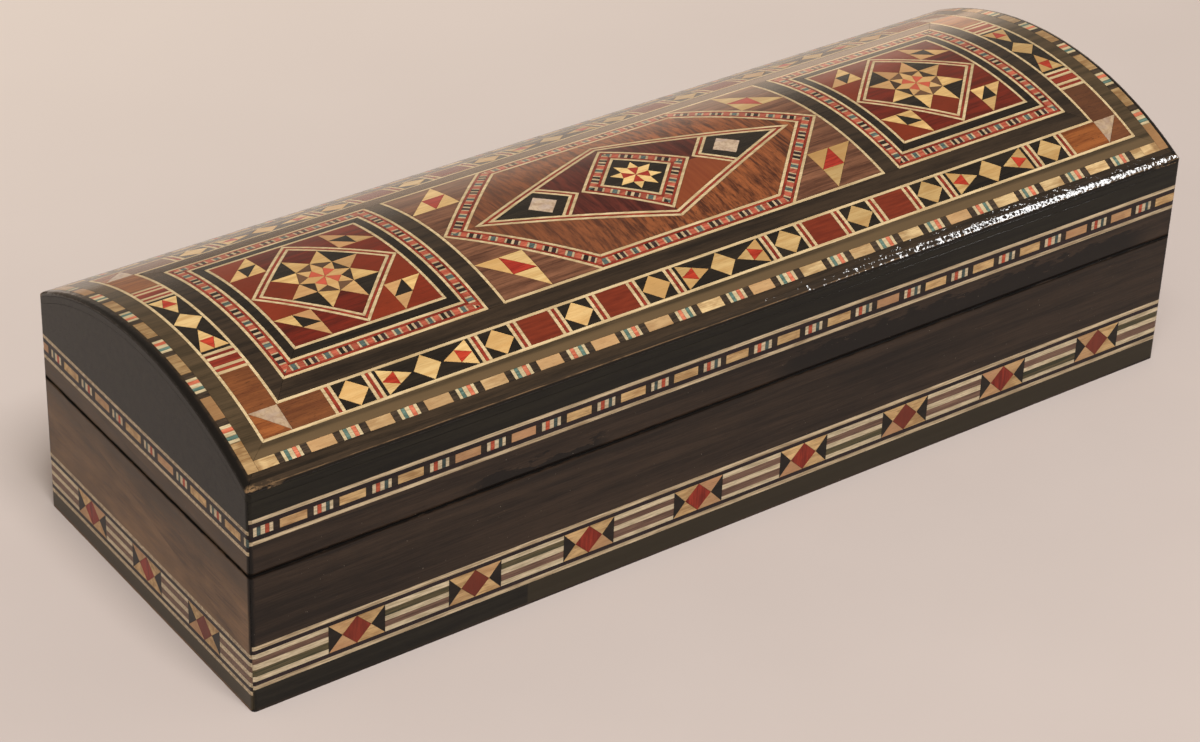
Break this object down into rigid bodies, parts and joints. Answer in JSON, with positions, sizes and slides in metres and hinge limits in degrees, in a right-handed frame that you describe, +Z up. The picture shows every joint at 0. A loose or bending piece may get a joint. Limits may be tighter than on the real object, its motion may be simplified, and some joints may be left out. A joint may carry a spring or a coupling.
{
  "type": "inlaid wooden box",
  "caption": "Long wooden box with a shallow domed lid on back hinges, covered in geometric wood and shell marquetry.",
  "frame": {"origin": "middle of the underside", "axes": "+X along the box to its right end, -Y to the front, +Z up; the lid is closed at rest"},
  "size_m": [0.25, 0.089, 0.0673],
  "materials": {
    "wall_wood": "thin old varnish",
    "inner_wood": "plain",
    "strip_wood": "thin old varnish",
    "light_line": "varnished",
    "dark_line": "varnished",
    "pattern_base": "varnished",
    "lid_wood": "varnished",
    "ebony": "varnished",
    "light_wood": "varnished",
    "red_wood": "varnished",
    "red_line": "varnished",
    "brown_wood": "varnished",
    "field_wood": "varnished",
    "dark_red_wood": "varnished",
    "pearl": "polished",
    "velvet": "short pile",
    "brass": "dull"
  },
  "bodies": {
    "tray": {"base_board": "inner_wood", "tray_front_wall": "wall_wood", "tray_back_wall": "wall_wood", "tray_left_wall": "wall_wood", "tray_right_wall": "wall_wood", "plinth_strips": "strip_wood", "tray_cream_lines": "light_line", "tray_dark_lines": "dark_line", "tray_pattern_strips": "pattern_base", "tray_floor_lining": "velvet", "tray_wall_linings": "velvet", "left_hinge_tray_leaf": "brass", "right_hinge_tray_leaf": "brass", "hinge_pins": "brass", "tray_hinge_nails": "brass"},
    "lid": {"lid_board": "lid_wood", "lid_front_wall": "wall_wood", "lid_back_wall": "wall_wood", "lid_left_wall": "wall_wood", "lid_right_wall": "wall_wood", "lid_upper_strips": "strip_wood", "lid_cream_lines": "light_line", "lid_dark_lines": "dark_line", "lid_pattern_strips": "pattern_base", "lid_dome_lining": "velvet", "lid_wall_linings": "velvet", "left_hinge_lid_leaf": "brass", "right_hinge_lid_leaf": "brass", "lid_hinge_nails": "brass", "top_rim_strips": "strip_wood", "top_block_band": "pattern_base", "top_olive_strips": "lid_wood", "top_dark_strips": "ebony", "border_cream_lines": "light_line", "border_divider_lines": "light_line", "border_red_bars": "red_line", "border_black_grounds": "ebony", "border_light_tiles": "light_wood", "border_red_tiles": "red_wood", "border_brown_blocks": "brown_wood", "pearl_pieces": "pearl", "frame_cream_lines": "light_line", "frame_red_lines": "red_line", "frame_mosaic_strings": "pattern_base", "side_black_rings": "ebony", "side_red_pieces": "red_wood", "side_light_triangles": "light_wood", "side_black_triangles": "ebony", "star_light_points": "light_wood", "star_red_hearts": "red_wood", "star_black_triangles": "ebony", "medallion_corner_wood": "brown_wood", "medallion_field": "field_wood", "medallion_red_wood": "dark_red_wood", "medallion_black_grounds": "ebony", "medallion_light_triangles": "light_wood", "medallion_red_triangles": "red_wood"}
  },
  "joints": [
    {"name": "lid_hinge", "type": "hinge", "parent": "tray", "child": "lid", "pos_m": [0, 0.04405, 0.0345], "axis": [-1, 0, 0], "range_deg": [0, 180]}
  ]
}
